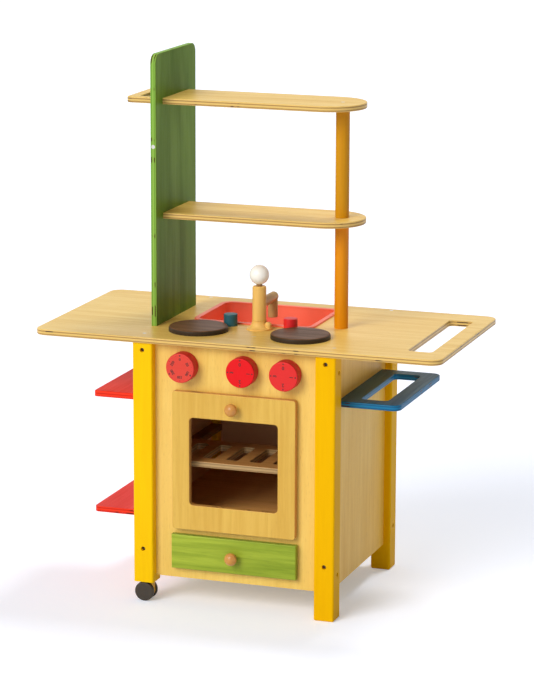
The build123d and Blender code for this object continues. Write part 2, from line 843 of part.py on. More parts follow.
with BuildPart() as sink_basin:
    with BuildSketch(Plane.XY.offset(work_high)):
        with Locations((sink_x, mid_y + sink_y)):
            RectangleRounded(
                sink_wide - 2 * sink_lip,
                sink_deep - 2 * sink_lip,
                sink_round - sink_lip,
            )
    extrude(amount=-sink_down, taper=sink_taper)
    fillet(sink_basin.faces().sort_by(Axis.Z)[0].edges(), radius=sink_floor_round)
    with BuildSketch(Plane.XY.offset(work_high)):
        with Locations((sink_x, mid_y + sink_y)):
            RectangleRounded(sink_wide, sink_deep, sink_round)
    extrude(amount=sink_lip_high)
    with BuildSketch(Plane.XY.offset(work_high)):
        with Locations((sink_x, mid_y + sink_y)):
            RectangleRounded(
                sink_wide - 2 * sink_lip - 2 * sink_wall,
                sink_deep - 2 * sink_lip - 2 * sink_wall,
                sink_round - sink_lip - sink_wall,
            )
    extrude(amount=sink_lip_high, mode=Mode.SUBTRACT)
    fillet(sink_basin.faces().sort_by(Axis.Z)[-1].edges(), radius=sink_lip_round)
    add(sink_inside.part, mode=Mode.SUBTRACT)

# Taps, each turning on a screw from under the worktop
with BuildPart() as tap:
    with BuildSketch(Plane.XY.offset(turn_gap)):
        Circle(tap_d / 2)
    extrude(amount=tap_high)
    fillet(tap.edges().group_by(Axis.Z)[-1], radius=tap_round)
    with BuildSketch(Plane.XY.offset(turn_gap)):
        Circle(spindle_d / 2)
    extrude(amount=tap_bite, mode=Mode.SUBTRACT)

with BuildPart() as tap_screw:
    with BuildSketch(Plane.XY.offset(-ply - turn_gap)):
        Circle(spindle_head / 2)
    extrude(amount=-spindle_head_thick)
    with BuildSketch(Plane.XY.offset(-ply - turn_gap)):
        Circle(spindle_d / 2)
    extrude(amount=2 * turn_gap + ply + tap_bite)

with BuildPart() as tap_cold:
    with Locations((tap_cold_x, mid_y + tap_y, work_high)):
        add(tap.part)

with BuildPart() as tap_cold_screw:
    with Locations((tap_cold_x, mid_y + tap_y, work_high)):
        add(tap_screw.part)

with BuildPart() as tap_hot:
    with Locations((tap_hot_x, mid_y + tap_y, work_high)):
        add(tap.part)

with BuildPart() as tap_hot_screw:
    with Locations((tap_hot_x, mid_y + tap_y, work_high)):
        add(tap_screw.part)

# Faucet: a turned foot, and a post on a bolt that carries the arm, the outlet and the ball
foot_top = work_high + foot_high
faucet_up = Plane(origin=(faucet_x, faucet_mid, 0), x_dir=(1, 0, 0), z_dir=(0, -1, 0))
with BuildPart() as faucet_foot:
    with BuildSketch(faucet_up):
        with BuildLine():
            rim = Line((foot_d / 2, work_high), (foot_d / 2, work_high + foot_rim))
            ThreePointArc(
                rim @ 1,
                (foot_waist_d / 2, work_high + foot_waist_high),
                (foot_top_d / 2, foot_top),
            )
            Polyline(
                (foot_top_d / 2, foot_top),
                (pivot_d / 2 + bore_play, foot_top),
                (pivot_d / 2 + bore_play, work_high),
                (foot_d / 2, work_high),
            )
        make_face()
    revolve(axis=Axis((faucet_x, faucet_mid, 0), (0, 0, 1)))
    with BuildSketch(Plane.XY.offset(peg_low)):
        with Locations((peg_x, mid_y + peg_y)):
            Circle(peg_d / 2)
    extrude(amount=foot_high, mode=Mode.SUBTRACT)

with BuildPart() as faucet_peg:
    with BuildSketch(Plane.XY.offset(peg_low)):
        with Locations((peg_x, mid_y + peg_y)):
            Circle(peg_d / 2)
    extrude(amount=peg_top - peg_low)
    fillet(faucet_peg.edges().group_by(Axis.Z)[-1], radius=peg_round)

pivot_top = foot_top + turn_gap + pivot_bite
with BuildPart() as faucet_post:
    with BuildSketch(Plane.XY.offset(foot_top + turn_gap)):
        with Locations((faucet_x, faucet_mid)):
            Circle(dowel / 2)
    extrude(amount=post_top - foot_top - turn_gap)
    fillet(faucet_post.edges().group_by(Axis.Z)[-1], radius=post_end_round)
    with BuildSketch(Plane.XY.offset(foot_top + turn_gap)):
        with Locations((faucet_x, faucet_mid)):
            Circle(pivot_d / 2)
    extrude(amount=pivot_bite, mode=Mode.SUBTRACT)
    with BuildSketch(Plane.XY.offset(post_top)):
        with Locations((faucet_x, faucet_mid)):
            Circle(ball_neck / 2)
    extrude(amount=-ball_tenon_long, mode=Mode.SUBTRACT)
    with BuildSketch(Plane.XZ.offset(-faucet_mid)):
        with Locations((faucet_x, arm_z)):
            Circle(arm_tenon / 2)
    extrude(amount=-dowel, mode=Mode.SUBTRACT)

with BuildPart() as faucet_pivot:
    with BuildSketch(Plane.XY.offset(under_work - turn_gap)):
        with Locations((faucet_x, faucet_mid)):
            Circle(pivot_head / 2)
    extrude(amount=-pivot_head_thick)
    with BuildSketch(Plane.XY.offset(under_work - turn_gap)):
        with Locations((faucet_x, faucet_mid)):
            Circle(pivot_d / 2)
    extrude(amount=pivot_top - under_work + turn_gap)

with BuildPart() as faucet_arm:
    with BuildSketch(Plane.XZ.offset(-faucet_mid)):
        with Locations((faucet_x, arm_z)):
            Circle(arm_d / 2)
    extrude(amount=faucet_y - arm_end)
    fillet(faucet_arm.edges().group_by(Axis.Y)[-1], radius=arm_round)
    with BuildSketch(Plane.XY.offset(arm_z - dowel)):
        with Locations((faucet_x, faucet_mid)):
            Circle(dowel / 2)
    extrude(amount=2 * dowel, mode=Mode.SUBTRACT)
    with BuildSketch(Plane.XZ.offset(-faucet_mid)):
        with Locations((faucet_x, arm_z)):
            Circle(arm_tenon / 2)
    extrude(amount=-dowel)
    with BuildSketch(Plane.XY.offset(arm_z)):
        with Locations((faucet_x, mid_y + outlet_y)):
            Circle(outlet_tenon / 2)
    extrude(amount=-arm_d, mode=Mode.SUBTRACT)

with BuildPart() as faucet_outlet:
    with BuildSketch(Plane.XY.offset(outlet_low)):
        with Locations((faucet_x, mid_y + outlet_y)):
            Circle(arm_d / 2)
    extrude(amount=arm_z - outlet_low)
    fillet(faucet_outlet.edges().group_by(Axis.Z)[0], radius=outlet_round)
    with BuildSketch(Plane.XZ.offset(-faucet_mid)):
        with Locations((faucet_x, arm_z)):
            Circle(arm_d / 2)
    extrude(amount=faucet_y - arm_end, mode=Mode.SUBTRACT)
    with BuildSketch(Plane.XY.offset(arm_z)):
        with Locations((faucet_x, mid_y + outlet_y)):
            Circle(outlet_tenon / 2)
    extrude(amount=-arm_d)

with BuildPart() as faucet_ball:
    with BuildSketch(Plane.XY.offset(post_top - ball_tenon_long)):
        with Locations((faucet_x, faucet_mid)):
            Circle(ball_neck / 2)
    extrude(amount=ball_z - post_top + ball_tenon_long)
    with Locations((faucet_x, faucet_mid, ball_z)):
        Sphere(ball_d / 2)

# Tower board, through which the top shelf runs
with BuildPart() as tower_board:
    with BuildSketch(Plane.YZ.offset(tower_x)):
        with BuildLine():
            outline = Polyline(
                (tower_mid - tower_deep / 2, work_high),
                (tower_mid + tower_deep / 2, work_high),
                (tower_mid + tower_deep / 2, tower_high),
                (tower_mid - tower_deep / 2, tower_high),
                close=True,
            )
        make_face()
        fillet(outline.vertices().sort_by(Axis.Z)[-2:], radius=tower_corner)
    extrude(amount=ply)
    fillet(tower_board.faces().sort_by(Axis.X)[0].edges().sort_by(Axis.Z)[1:], radius=ease)
    fillet(tower_board.faces().sort_by(Axis.X)[-1].edges().sort_by(Axis.Z)[1:], radius=ease)
    with BuildSketch(Plane.YZ.offset(tower_x)):
        with Locations((tower_mid, top_shelf_z - ply / 2)):
            Rectangle(shelf_deep + 2 * slip, ply + 2 * slip)
    extrude(amount=ply, mode=Mode.SUBTRACT)
    add(screw_holes.part, mode=Mode.SUBTRACT)

with BuildPart() as top_shelf:
    with BuildSketch(Plane.XY.offset(up_post_top)):
        with Locations(((top_shelf_left + shelf_turn_x) / 2, tower_mid)):
            RectangleRounded(shelf_turn_x - top_shelf_left, shelf_deep, shelf_corner)
        with Locations((shelf_turn_x - shelf_corner, tower_mid)):
            Rectangle(2 * shelf_corner, shelf_deep)
        with Locations((shelf_turn_x, tower_mid)):
            Circle(shelf_deep / 2)
        with Locations((side_slot_x, tower_mid)):
            RectangleRounded(
                side_slot_wide, side_slot_long, side_shelf_corner, mode=Mode.SUBTRACT
            )
    extrude(amount=ply)
    fillet(top_shelf.edges().group_by(Axis.Z)[-1], radius=ease)
    fillet(top_shelf.edges().group_by(Axis.Z)[0], radius=ease)
    add(screw_holes.part, mode=Mode.SUBTRACT)

with BuildPart() as lower_shelf:
    with BuildSketch(Plane.XY.offset(low_post_top)):
        with Locations(((board_in + shelf_turn_x) / 2, tower_mid)):
            Rectangle(shelf_turn_x - board_in, shelf_deep)
        with Locations((shelf_turn_x, tower_mid)):
            Circle(shelf_deep / 2)
    extrude(amount=ply)
    fillet(lower_shelf.edges().group_by(Axis.Z)[-1].sort_by(Axis.X)[1:], radius=ease)
    fillet(lower_shelf.edges().group_by(Axis.Z)[0].sort_by(Axis.X)[1:], radius=ease)
    add(screw_holes.part, mode=Mode.SUBTRACT)

with BuildPart() as post_upper:
    with BuildSketch(Plane.XY.offset(low_shelf_z)):
        with Locations((post_x, tower_mid)):
            Circle(dowel / 2)
    extrude(amount=up_post_top - low_shelf_z)
    add(screw_holes.part, mode=Mode.SUBTRACT)

with BuildPart() as post_lower:
    with BuildSketch(Plane.XY.offset(work_high)):
        with Locations((post_x, tower_mid)):
            Circle(dowel / 2)
    extrude(amount=low_post_top - work_high)
    add(screw_holes.part, mode=Mode.SUBTRACT)

# The two alike side shelves between the left legs
with BuildPart() as side_shelves:
    for shelf_z in (side_shelf_lower_z, side_shelf_upper_z):
        with BuildSketch(Plane.XY.offset(shelf_z - ply)):
            with Locations((-side_x - side_shelf_out / 2, mid_y)):
                board = Rectangle(side_shelf_out, 2 * (inner_y - side_shelf_gap))
                fillet(board.vertices().sort_by(Axis.X)[:2], radius=side_shelf_corner)
        extrude(amount=ply)
    fillet(side_shelves.edges().group_by(Axis.Z)[-1].sort_by(Axis.X)[:-1], radius=ease)
    fillet(side_shelves.edges().group_by(Axis.Z)[0].sort_by(Axis.X)[:-1], radius=ease)
    add(screw_holes.part, mode=Mode.SUBTRACT)

# Towel rack on the right side
with BuildPart() as towel_rack:
    with BuildSketch(Plane.XY.offset(rack_top_z - ply)):
        with Locations((side_x + towel_out / 2, mid_y)):
            board = Rectangle(towel_out, towel_long)
            fillet(board.vertices().sort_by(Axis.X)[-2:], radius=towel_corner)
        with Locations((towel_slot_x, mid_y)):
            RectangleRounded(
                towel_slot_wide, towel_slot_long, towel_slot_round, mode=Mode.SUBTRACT
            )
    extrude(amount=ply)
    fillet(towel_rack.edges().group_by(Axis.Z)[-1].sort_by(Axis.X)[1:], radius=ease)
    fillet(towel_rack.edges().group_by(Axis.Z)[0].sort_by(Axis.X)[1:], radius=ease)
    add(screw_holes.part, mode=Mode.SUBTRACT)

# Casters: a sleeve in the leg, a hood on a stem, and two wheels on one axle
with BuildPart() as caster_sleeves:
    with BuildSketch(Plane.XY.offset(caster_high - sleeve_flange_thick)):
        with Locations((stem_x, mid_y - leg_y), (stem_x, mid_y + leg_y)):
            Circle(sleeve_flange / 2)
    extrude(amount=sleeve_flange_thick)
    with BuildSketch(Plane.XY.offset(caster_high)):
        with Locations((stem_x, mid_y - leg_y), (stem_x, mid_y + leg_y)):
            Circle(sleeve_d / 2)
    extrude(amount=stem_up)
    with BuildSketch(Plane.XY.offset(caster_high - sleeve_flange_thick)):
        with Locations((stem_x, mid_y - leg_y), (stem_x, mid_y + leg_y)):
            Circle(stem_d / 2 + bore_play)
    extrude(amount=stem_up + sleeve_flange_thick, mode=Mode.SUBTRACT)

collar_top = caster_high - sleeve_flange_thick - collar_gap
with BuildPart() as caster_hood:
    with BuildSketch(Plane.XZ.offset(-hood_thick / 2)):
        with Locations((-trail, axle_z)):
            Circle(hood_r)
        with Locations((0, axle_z)):
            Rectangle(collar_d, collar_top - axle_z, align=CENTER_MIN)
        make_hull()
    extrude(amount=hood_thick)
    with BuildSketch(Plane.XY.offset(collar_top)):
        Circle(stem_d / 2)
    extrude(amount=caster_high + stem_up - collar_top - ease)
    with BuildSketch(Plane.XZ.offset(-hood_thick)):
        with Locations((-trail, axle_z)):
            Circle(axle_d / 2 + bore_play)
    extrude(amount=2 * hood_thick, mode=Mode.SUBTRACT)

wheel_in = hood_thick / 2 + wheel_gap
wheel_out = wheel_in + wheel_thick
with BuildPart() as caster_wheels:
    for side in (Plane.XZ.offset(wheel_in), Plane.XZ.offset(-wheel_out)):
        with BuildSketch(side):
            with Locations((-trail, axle_z)):
                Circle(wheel_d / 2)
        extrude(amount=wheel_thick)
    fillet(caster_wheels.edges().group_by(Axis.Y)[0], radius=wheel_round)
    fillet(caster_wheels.edges().group_by(Axis.Y)[-1], radius=wheel_round)
    with BuildSketch(Plane.XZ.offset(-wheel_out)):
        with Locations((-trail, axle_z)):
            Circle(axle_d / 2)
    extrude(amount=2 * wheel_out)

with BuildPart() as caster_front_hood:
    with Locations((stem_x, mid_y - leg_y, 0)):
        add(caster_hood.part)

with BuildPart() as caster_front_wheels:
    with Locations((stem_x, mid_y - leg_y, 0)):
        add(caster_wheels.part)

with BuildPart() as caster_back_hood:
    with Locations((stem_x, mid_y + leg_y, 0)):
        add(caster_hood.part)

with BuildPart() as caster_back_wheels:
    with Locations((stem_x, mid_y + leg_y, 0)):
        add(caster_wheels.part)

kitchen = {
    "worktop": worktop,
    "leg_front_left": leg_front_left,
    "leg_front_right": leg_front_right,
    "leg_back_left": leg_back_left,
    "leg_back_right": leg_back_right,
    "front_panel": front_panel,
    "back_panel": back_panel,
    "side_panel_left": side_panel_left,
    "side_panel_right": side_panel_right,
    "bottom_panel": bottom_panel,
    "oven_floor": oven_floor,
    "battens": battens,
    "oven_rack": oven_rack,
    "oven_door": oven_door,
    "door_knob": door_knob,
    "hinge_leaves_fixed": hinge_leaves_fixed,
    "hinge_leaves_moving": hinge_leaves_moving,
    "hinge_pins": hinge_pins,
    "door_magnet": door_magnet,
    "door_strike": door_strike,
    "drawer_front": drawer_front,
    "drawer_sides": drawer_sides,
    "drawer_back": drawer_back,
    "drawer_bottom": drawer_bottom,
    "drawer_stop": drawer_stop,
    "drawer_knob": drawer_knob,
    "drawer_runners": drawer_runners,
    "dial_oven": dial_oven,
    "dial_oven_screw": dial_oven_screw,
    "dial_hob_left": dial_hob_left,
    "dial_hob_left_screw": dial_hob_left_screw,
    "dial_hob_right": dial_hob_right,
    "dial_hob_right_screw": dial_hob_right_screw,
    "hobs": hobs,
    "sink_basin": sink_basin,
    "tap_cold": tap_cold,
    "tap_cold_screw": tap_cold_screw,
    "tap_hot": tap_hot,
    "tap_hot_screw": tap_hot_screw,
    "faucet_foot": faucet_foot,
    "faucet_peg": faucet_peg,
    "faucet_post": faucet_post,
    "faucet_pivot": faucet_pivot,
    "faucet_arm": faucet_arm,
    "faucet_outlet": faucet_outlet,
    "faucet_ball": faucet_ball,
    "tower_board": tower_board,
    "top_shelf": top_shelf,
    "lower_shelf": lower_shelf,
    "post_upper": post_upper,
    "post_lower": post_lower,
    "side_shelves": side_shelves,
    "towel_rack": towel_rack,
    "caster_sleeves": caster_sleeves,
    "caster_front_hood": caster_front_hood,
    "caster_front_wheels": caster_front_wheels,
    "caster_back_hood": caster_back_hood,
    "caster_back_wheels": caster_back_wheels,
    "leg_bolts": leg_bolts,
    "wood_screws": wood_screws,
}
for name, piece in kitchen.items():
    piece.part.label = name
    export_step(piece.part, "parts/" + name + ".step")
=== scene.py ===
import math

import bpy
import numpy as np
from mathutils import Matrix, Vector


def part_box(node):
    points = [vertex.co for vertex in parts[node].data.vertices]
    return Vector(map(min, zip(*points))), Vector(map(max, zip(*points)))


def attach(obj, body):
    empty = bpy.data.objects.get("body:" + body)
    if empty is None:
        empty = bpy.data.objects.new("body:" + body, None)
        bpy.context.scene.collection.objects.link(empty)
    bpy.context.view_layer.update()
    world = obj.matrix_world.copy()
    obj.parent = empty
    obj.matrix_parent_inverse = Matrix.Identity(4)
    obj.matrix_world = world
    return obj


# %% [markdown]
# # A play kitchen, finished over its measured solids
# The solids of the kitchen come in ready made and measured: boards, legs, dials, taps and casters, each
# already in its place. This script gives them their surfaces, adds what is too fine for a solid, which is
# the numbers printed on the dials, and takes the picture. Lengths are in metres, +Z is up and the front
# looks along -Y.

# %% The measured kitchen
X, Y, Z = 0, 1, 2
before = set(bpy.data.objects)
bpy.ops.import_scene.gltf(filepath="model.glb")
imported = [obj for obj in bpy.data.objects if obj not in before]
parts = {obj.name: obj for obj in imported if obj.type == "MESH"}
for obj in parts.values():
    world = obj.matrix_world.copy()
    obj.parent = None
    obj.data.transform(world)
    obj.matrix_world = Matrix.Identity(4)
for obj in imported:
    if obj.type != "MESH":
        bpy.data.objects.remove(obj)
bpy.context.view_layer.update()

# %% [markdown]
# ## Colours as a painter names them
# A colour picked from a screen is coded for the eye, while light adds up in plain proportion. The shaders
# could be given those proportions directly, but nobody can picture them. So every colour of a finish is
# written with its screen numbers, 0 to 255, and turned into the plain proportion that a shader works in.


# %% Screen colour to light
def paint(red, green, blue):
    """((Screen value / 255 + 0.055) / 1.055) to the power 2.4; the darkest values are divided by 12.92."""
    screen = np.array([red, green, blue]) / 255.0
    light = np.where(screen <= 0.04045, screen / 12.92, ((screen + 0.055) / 1.055) ** 2.4)
    return (*light.tolist(), 1.0)


print("a yellow leg in light values:", [round(value, 3) for value in paint(250, 200, 0)[:3]])

# %% [markdown]
# ## Small helpers for materials
# A material is a graph of nodes. It could be drawn by hand in the shader editor, but a drawing can't be
# read or repeated. Building it in code needs the same few moves again and again: put a node down with its
# settings, run a wire from an output to an input, work out a number, mix two colours. They are written
# once here.

# %% Nodes and wires
MIX_AMOUNT, MIX_FIRST, MIX_SECOND = 0, 6, 7
MIX_RESULT = 2


def put(tree, kind, values=None, **settings):
    """Puts one node down, gives it its settings, and writes plain values on its named inputs."""
    made = tree.nodes.new(kind)
    for name, value in settings.items():
        setattr(made, name, value)
    for name, value in (values or {}).items():
        made.inputs[name].default_value = value
    return made


def wire(tree, *pairs):
    """Runs a wire for each pair of output and input."""
    for source, target in pairs:
        tree.links.new(source, target)


def feed(tree, socket, operand):
    """Gives an input its operand, which is either a constant or an output to be wired in."""
    if isinstance(operand, (int, float, tuple)):
        socket.default_value = operand
    else:
        tree.links.new(operand, socket)


def maths(tree, operation, first, second=0.5, clamp=False):
    """One arithmetic node over two operands; an operation on one number leaves the second aside."""
    made = put(tree, "ShaderNodeMath", operation=operation, use_clamp=clamp)
    for socket, operand in zip(made.inputs, (first, second)):
        feed(tree, socket, operand)
    return made.outputs[0]


def blend(tree, amount, first, second):
    """Mixes two colours: first * (1 - amount) + second * amount."""
    made = put(tree, "ShaderNodeMix", data_type="RGBA")
    for place, operand in ((MIX_AMOUNT, amount), (MIX_FIRST, first), (MIX_SECOND, second)):
        feed(tree, made.inputs[place], operand)
    return made.outputs[MIX_RESULT]


def ramp(tree, value, low, high):
    """Stretches the part of a value between low and high to the whole range from 0 to 1, with soft ends."""
    ends = {"From Min": low, "From Max": high}
    made = put(tree, "ShaderNodeMapRange", ends, interpolation_type="SMOOTHSTEP")
    wire(tree, (value, made.inputs["Value"]))
    return made.outputs[0]


def new_material(name):
    """An empty material, its tree, its Principled shader and a node that gives places on the object."""
    made = bpy.data.materials.new(name)
    made.use_nodes = True
    tree = made.node_tree
    return made, tree, tree.nodes["Principled BSDF"], put(tree, "ShaderNodeTexCoord")


print("helpers ready")

# %% [markdown]
# ## Wood grain as a reusable group
# Birch and beech have three things to see: long faint streaks along the grain, a broad cloudy figure, and
# tiny dark pores. A photograph of wood would repeat and blur; noise that is stretched along the grain
# never repeats. The group takes a place on the board, with X along the grain, and gives back the three as
# plain values, so that every wood can share it.

# %% Group: wood grain
# output, how closely the noise is packed along and across the grain, detail, roughness, twist, and the two
# values of the noise that become 0 and 1
GRAIN = (
    ("Streaks", (5.0, 95.0, 95.0), 5.0, 0.6, 0.7, 0.3, 0.7),
    ("Figure", (1.6, 13.0, 13.0), 3.0, 0.5, 1.2, 0.3, 0.7),
    ("Pores", (60.0, 900.0, 900.0), 1.0, 0.5, 0.0, 0.62, 0.74),
)


def grain_group():
    """Noise at place * (along, across, across): the more across exceeds along, the longer the streaks."""
    tree = bpy.data.node_groups.new("wood_grain", "ShaderNodeTree")
    tree.interface.new_socket("Place", in_out="INPUT", socket_type="NodeSocketVector")
    for name, *_ in GRAIN:
        tree.interface.new_socket(name, in_out="OUTPUT", socket_type="NodeSocketFloat")
    came_in = put(tree, "NodeGroupInput")
    going_out = put(tree, "NodeGroupOutput")
    for name, packing, detail, rough, twist, low, high in GRAIN:
        place = put(tree, "ShaderNodeVectorMath", operation="MULTIPLY")
        place.inputs[1].default_value = packing
        settings = {"Scale": 1.0, "Detail": detail, "Roughness": rough, "Distortion": twist}
        noise = put(tree, "ShaderNodeTexNoise", settings)
        wire(
            tree,
            (came_in.outputs["Place"], place.inputs[0]),
            (place.outputs[0], noise.inputs["Vector"]),
            (ramp(tree, noise.outputs["Fac"], low, high), going_out.inputs[name]),
        )
    return tree


wood_grain = grain_group()
print("group:", wood_grain.name)


# %% The grain laid on a piece
def lay_grain(tree, where, along):
    """Puts the object's axes in a new order, the grain's first, and reads the grain there."""
    axes = put(tree, "ShaderNodeSeparateXYZ")
    turned = put(tree, "ShaderNodeCombineXYZ")
    wire(tree, (where.outputs["Object"], axes.inputs[0]))
    order = [along] + [axis for axis in (X, Y, Z) if axis != along]
    for slot, axis in enumerate(order):
        wire(tree, (axes.outputs[axis], turned.inputs[slot]))
    grain = put(tree, "ShaderNodeGroup", node_tree=wood_grain)
    wire(tree, (turned.outputs[0], grain.inputs["Place"]))
    return axes, grain


def grain_marks(tree, grain, streaks, figure):
    """How dark the grain is at a place: streaks and figure, each times its own weight, added."""
    return maths(
        tree,
        "ADD",
        maths(tree, "MULTIPLY", grain.outputs["Streaks"], streaks),
        maths(tree, "MULTIPLY", grain.outputs["Figure"], figure),
    )


def wooden_skin(tree, skin, grain, marks, colour, rough, spread, relief, depth):
    """Roughness = rough + marks * spread; height = marks + pores, times the depth, shown by the relief."""
    bump = put(tree, "ShaderNodeBump", {"Strength": relief, "Distance": depth})
    wire(
        tree,
        (colour, skin.inputs["Base Color"]),
        (maths(tree, "ADD", maths(tree, "MULTIPLY", marks, spread), rough), skin.inputs["Roughness"]),
        (maths(tree, "ADD", marks, grain.outputs["Pores"]), bump.inputs["Height"]),
        (bump.outputs[0], skin.inputs["Normal"]),
    )


print("grain helpers ready")

# %% [markdown]
# ## The sawn edge of plywood as a group
# A sheet of birch plywood shows its glued layers on every sawn edge: thin pale and brown lines by turns,
# the brown ones being layers cut across the grain, with a dark gap here and there where a layer fell
# short. Each layer could be a strip of mesh, but that would be hundreds of strips for a line a millimetre
# wide. The group works the lines out from the depth through the sheet, from 0 to 1, and from a place
# along the edge.

# %% Group: plywood edge
BROWN_LAYERS = 2
LAYER_WAVER = 0.05
WAVER_PACKING = 9.0
GAP_PACKING = 26.0
GAP_LOW, GAP_HIGH = 0.6, 0.66
BROWN_STARTS, BROWN_FULL = 0.0, -0.8


def edge_group():
    """Layers: a cosine with one turn for each brown layer over the depth, which a noise shifts a little.

    A layer turns brown where the cosine goes from 0 down to -0.8. Gaps: the patches of a second noise, kept
    where a brown layer is.
    """
    tree = bpy.data.node_groups.new("plywood_edge", "ShaderNodeTree")
    tree.interface.new_socket("Place", in_out="INPUT", socket_type="NodeSocketVector")
    tree.interface.new_socket("Depth", in_out="INPUT", socket_type="NodeSocketFloat")
    tree.interface.new_socket("Layers", in_out="OUTPUT", socket_type="NodeSocketFloat")
    tree.interface.new_socket("Gaps", in_out="OUTPUT", socket_type="NodeSocketFloat")
    came_in = put(tree, "NodeGroupInput")
    going_out = put(tree, "NodeGroupOutput")
    waver = put(tree, "ShaderNodeTexNoise", {"Scale": WAVER_PACKING, "Detail": 3.0})
    spot = put(tree, "ShaderNodeVectorMath", operation="MULTIPLY")
    spot.inputs[1].default_value = (GAP_PACKING, GAP_PACKING, GAP_PACKING)
    patch = put(tree, "ShaderNodeTexNoise", {"Scale": 1.0, "Detail": 2.0})
    wire(
        tree,
        (came_in.outputs["Place"], waver.inputs["Vector"]),
        (came_in.outputs["Place"], spot.inputs[0]),
        (spot.outputs[0], patch.inputs["Vector"]),
    )
    shift = maths(tree, "MULTIPLY", waver.outputs["Fac"], LAYER_WAVER)
    shifted = maths(tree, "ADD", came_in.outputs["Depth"], shift)
    wave = maths(tree, "COSINE", maths(tree, "MULTIPLY", shifted, 2 * math.pi * BROWN_LAYERS))
    layers = ramp(tree, wave, BROWN_STARTS, BROWN_FULL)
    patches = ramp(tree, patch.outputs["Fac"], GAP_LOW, GAP_HIGH)
    gaps = maths(tree, "MULTIPLY", layers, patches, clamp=True)
    wire(tree, (layers, going_out.inputs["Layers"]), (gaps, going_out.inputs["Gaps"]))
    return tree


plywood_edge = edge_group()
print("group:", plywood_edge.name)

# %% [markdown]
# ## Varnished and stained sheets
# The kitchen's boards are 12 mm plywood, apart from the drawer's thinner box. The two broad sides of a
# sheet show the veneer and the narrow ones the layers. Two materials would need the mesh cut into sides
# and edges, so one material does both: it looks at which way the surface faces and picks veneer or
# layers. The grain runs along the board, and the varnish is a matt one with soft reflections. The
# cabinet's inside faces are painted darker: painted shade of the dim inside.

# %% Material: sheet of plywood
SHEET_THICK = 0.012
PORES_SHOWN = 0.25
LAYERS_SHOWN = 0.75
GAP_BROWN = paint(70, 38, 22)
BROAD_LOW, BROAD_HIGH = 0.55, 0.8
INNER_LOW, INNER_HIGH = 0.5, 0.8


def sheet(name, through, low, along, colours, rough=0.36, streaking=0.55, gloss=0.25, inside=None):
    """Veneer where the face's normal points through the sheet, layers elsewhere.

    Depth = (place - low) / 12 mm.
    With inside = (sign, colour), the broad side whose normal has that sign takes that colour as painted
    shade.
    """
    made, tree, skin, where = new_material(name)
    axes, grain = lay_grain(tree, where, along)
    facing = put(tree, "ShaderNodeSeparateXYZ")
    rim = put(tree, "ShaderNodeGroup", node_tree=plywood_edge)
    depth = maths(tree, "DIVIDE", maths(tree, "SUBTRACT", axes.outputs[through], low), SHEET_THICK)
    wire(
        tree,
        (where.outputs["Normal"], facing.inputs[0]),
        (where.outputs["Object"], rim.inputs["Place"]),
        (depth, rim.inputs["Depth"]),
    )
    marks = grain_marks(tree, grain, streaking, 1.0 - streaking)
    broad = blend(tree, marks, colours["veneer"], colours["streak"])
    pores = maths(tree, "MULTIPLY", grain.outputs["Pores"], PORES_SHOWN)
    broad = blend(tree, pores, broad, colours["layer"])
    if inside:
        # The broad side that faces into the cabinet takes a darker colour: painted shade of the dim inside.
        sign, inside_shade = inside
        inwards = maths(tree, "MULTIPLY", facing.outputs[through], sign)
        broad = blend(tree, ramp(tree, inwards, INNER_LOW, INNER_HIGH), broad, inside_shade)
    brown = maths(tree, "MULTIPLY", rim.outputs["Layers"], LAYERS_SHOWN)
    sawn = blend(tree, brown, colours["edge"], colours["layer"])
    sawn = blend(tree, rim.outputs["Gaps"], sawn, GAP_BROWN)
    flat = ramp(tree, maths(tree, "ABSOLUTE", facing.outputs[through]), BROAD_LOW, BROAD_HIGH)
    colour = blend(tree, flat, sawn, broad)
    wooden_skin(tree, skin, grain, marks, colour, rough, spread=0.12, relief=0.25, depth=0.0004)
    skin.inputs["Specular IOR Level"].default_value = gloss
    return made


print("sheet material ready")

# %% [markdown]
# ## Coloured solid wood
# Legs, posts, dials and taps are solid beech under a coloured glaze: the colour is strong, but the grain
# still shows as slightly darker lines and as a faint unevenness of the gloss. Plain paint would be one
# colour; here the same grain as on the boards mixes the glaze with its own dark tone. A dial's or a hob's
# side can be given a darker colour of its own: painted shade of the side that faces away from the light.

# %% Material: glazed wood
RIM_LOW, RIM_HIGH = 0.5, 0.9
STREAK_SHARE = 0.6


def glazed(name, along, glaze, dark, rough=0.4, showing=0.6, gloss=0.2, coat=0.0, rim=None):
    """Glaze mixed towards its dark tone by streaks and figure of the grain that runs along the given axis.

    With rim = (axis, colour), the side of a disc that lies across that axis has that darker colour as
    painted shade: there the normal's part along the axis is small.
    """
    made, tree, skin, where = new_material(name)
    _, grain = lay_grain(tree, where, along)
    marks = grain_marks(tree, grain, STREAK_SHARE * showing, (1.0 - STREAK_SHARE) * showing)
    colour = blend(tree, marks, paint(*glaze), paint(*dark))
    if rim:
        # The side of the disc takes the darker colour: painted shade.
        across, side_shade_colour = rim
        facing = put(tree, "ShaderNodeSeparateXYZ")
        wire(tree, (where.outputs["Normal"], facing.inputs[0]))
        face = ramp(tree, maths(tree, "ABSOLUTE", facing.outputs[across]), RIM_LOW, RIM_HIGH)
        colour = blend(tree, face, paint(*side_shade_colour), colour)
    wooden_skin(tree, skin, grain, marks, colour, rough, spread=0.15, relief=0.2, depth=0.0003)
    skin.inputs["Specular IOR Level"].default_value = gloss
    skin.inputs["Coat Weight"].default_value = coat
    skin.inputs["Coat Roughness"].default_value = 0.2
    return made


print("glazed wood ready")

# %% [markdown]
# ## Plastic and metal
# The sink and the casters are moulded plastic: one colour all through, with a very fine unevenness that
# breaks up the reflections. Screws, bolts and hinges are plated steel, whose reflection is streaked by
# handling. A perfectly even surface would look like a drawing, so both take their roughness from a wide
# noise, and metal differs from plastic only by being metallic and more patchy.

# %% Material: moulded plastic and plated steel
ROUGH_SPAN = 0.16
PATCH_SIZE = 14.0
PATCH_LOW, PATCH_HIGH = 0.3, 0.7


